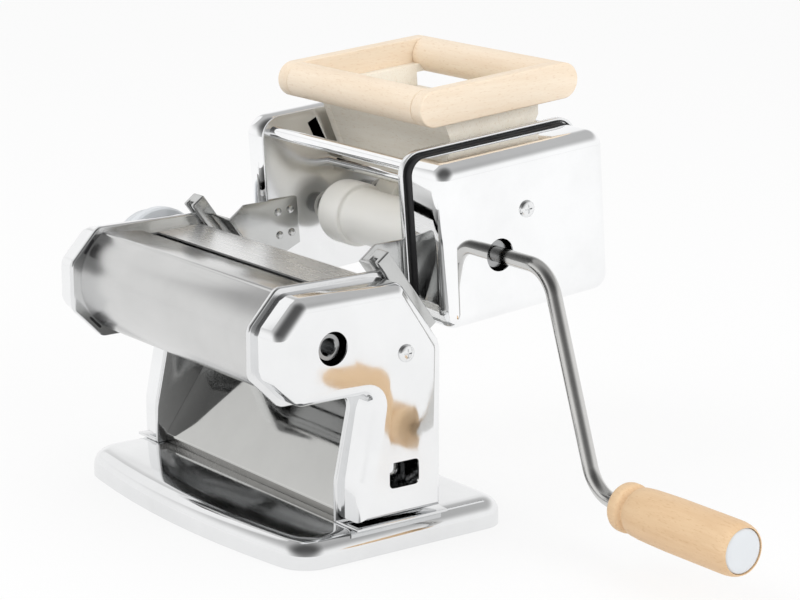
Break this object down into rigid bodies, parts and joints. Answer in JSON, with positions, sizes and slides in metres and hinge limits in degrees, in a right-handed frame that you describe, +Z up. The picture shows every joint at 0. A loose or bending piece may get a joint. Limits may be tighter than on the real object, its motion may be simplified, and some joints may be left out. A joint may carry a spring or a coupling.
{
  "type": "pasta machine",
  "caption": "Hand cranked chrome pasta machine with smooth rollers and a thickness knob, with a dumpling roller attachment, wooden hopper and crank hooked on its rear.",
  "frame": {"origin": "on the table plane, under the middle of the machine", "axes": "+X along the rollers towards the crank, -Y the front, +Z up"},
  "size_m": [0.3969, 0.228, 0.2268],
  "materials": {
    "chrome": "polished",
    "steel": "satin",
    "bronze": "satin",
    "white_plastic": "semi gloss",
    "black_seal": "matte",
    "beech": "oiled",
    "cream_wood": "bare"
  },
  "bodies": {
    "machine": {"base_plate": "chrome", "left_inner_plate": "chrome", "right_inner_plate": "chrome", "left_cover": "chrome", "right_cover": "chrome", "front_cover": "chrome", "rear_cover": "chrome", "chute": "chrome", "tie_rods": "steel", "front_scraper": "steel", "rear_scraper": "steel", "left_dough_guide": "chrome", "right_dough_guide": "chrome", "roller_bushes": "bronze", "cover_brackets": "steel", "cover_screws": "steel", "regulator_bush": "bronze"},
    "front_roller_body": {"front_roller": "steel", "front_roller_gear": "steel"},
    "carriage": {"left_bearing": "bronze", "right_bearing": "bronze"},
    "rear_roller_body": {"rear_roller": "steel", "rear_roller_gear": "steel"},
    "regulator": {"regulator_shaft": "steel", "regulator_knob": "white_plastic"},
    "attachment": {"left_arm": "steel", "right_arm": "steel", "arm_rivets": "steel", "attach_left_plate": "chrome", "attach_left_cover": "chrome", "attach_right_plate": "chrome", "gear_case_seal": "black_seal", "gear_cover": "chrome", "gear_cover_screw": "steel", "attach_tie_bars": "chrome", "mould_bushes": "bronze"},
    "front_mould": {"front_mould_shaft": "steel", "front_mould_roller": "white_plastic", "front_mould_gear": "steel"},
    "rear_mould": {"rear_mould_shaft": "steel", "rear_mould_roller": "white_plastic", "rear_mould_gear": "steel"},
    "hopper": {"front_dowel": "beech", "rear_dowel": "beech", "left_rail": "beech", "right_rail": "beech", "left_end_board": "cream_wood", "right_end_board": "cream_wood", "front_panel": "cream_wood", "rear_panel": "cream_wood"},
    "crank": {"crank_rod": "chrome", "grip_retainer": "steel"},
    "grip_body": {"grip": "beech", "grip_cap": "white_plastic"}
  },
  "joints": [
    {"name": "front_roller_spin", "type": "hinge", "parent": "machine", "child": "front_roller_body", "pos_m": [0, -0.0335, 0.1105], "axis": [1, 0, 0], "continuous": true},
    {"name": "regulator_turn", "type": "hinge", "parent": "machine", "child": "regulator", "pos_m": [-0.115, 0.00084, 0.11472], "axis": [1, 0, 0], "range_deg": [0, 270]},
    {"name": "bearing_slide", "type": "slide", "parent": "machine", "child": "carriage", "axis": [0, -0.9925, -0.1219], "range_m": [0, 0.0022]},
    {"name": "rear_roller_spin", "type": "hinge", "parent": "carriage", "child": "rear_roller_body", "pos_m": [0, 0.00084, 0.11472], "axis": [1, 0, 0], "continuous": true},
    {"name": "attachment_lift", "type": "slide", "parent": "machine", "child": "attachment", "axis": [0, -0.5909, 0.8068], "range_m": [0, 0.06]},
    {"name": "front_mould_spin", "type": "hinge", "parent": "attachment", "child": "front_mould", "pos_m": [0, 0.0805, 0.1383], "axis": [1, 0, 0], "continuous": true},
    {"name": "rear_mould_spin", "type": "hinge", "parent": "attachment", "child": "rear_mould", "pos_m": [0, 0.11739, 0.1412], "axis": [1, 0, 0], "continuous": true},
    {"name": "hopper_lift", "type": "slide", "parent": "attachment", "child": "hopper", "axis": [0, -0.0785, 0.9969], "range_m": [0, 0.06]},
    {"name": "crank_pull", "type": "slide", "parent": "front_mould", "child": "crank", "axis": [1, 0, 0], "range_m": [0, 0.045]},
    {"name": "grip_spin", "type": "hinge", "parent": "crank", "child": "grip_body", "pos_m": [0.2, 0.0805, 0.0313], "axis": [1, 0, 0], "continuous": true}
  ],
  "couplings": [
    {"joint": "rear_roller_spin", "follows": "front_roller_spin", "ratio": -1},
    {"joint": "regulator_turn", "follows": "bearing_slide", "rad_per_m": 2141.9},
    {"joint": "rear_mould_spin", "follows": "front_mould_spin", "ratio": -1}
  ]
}
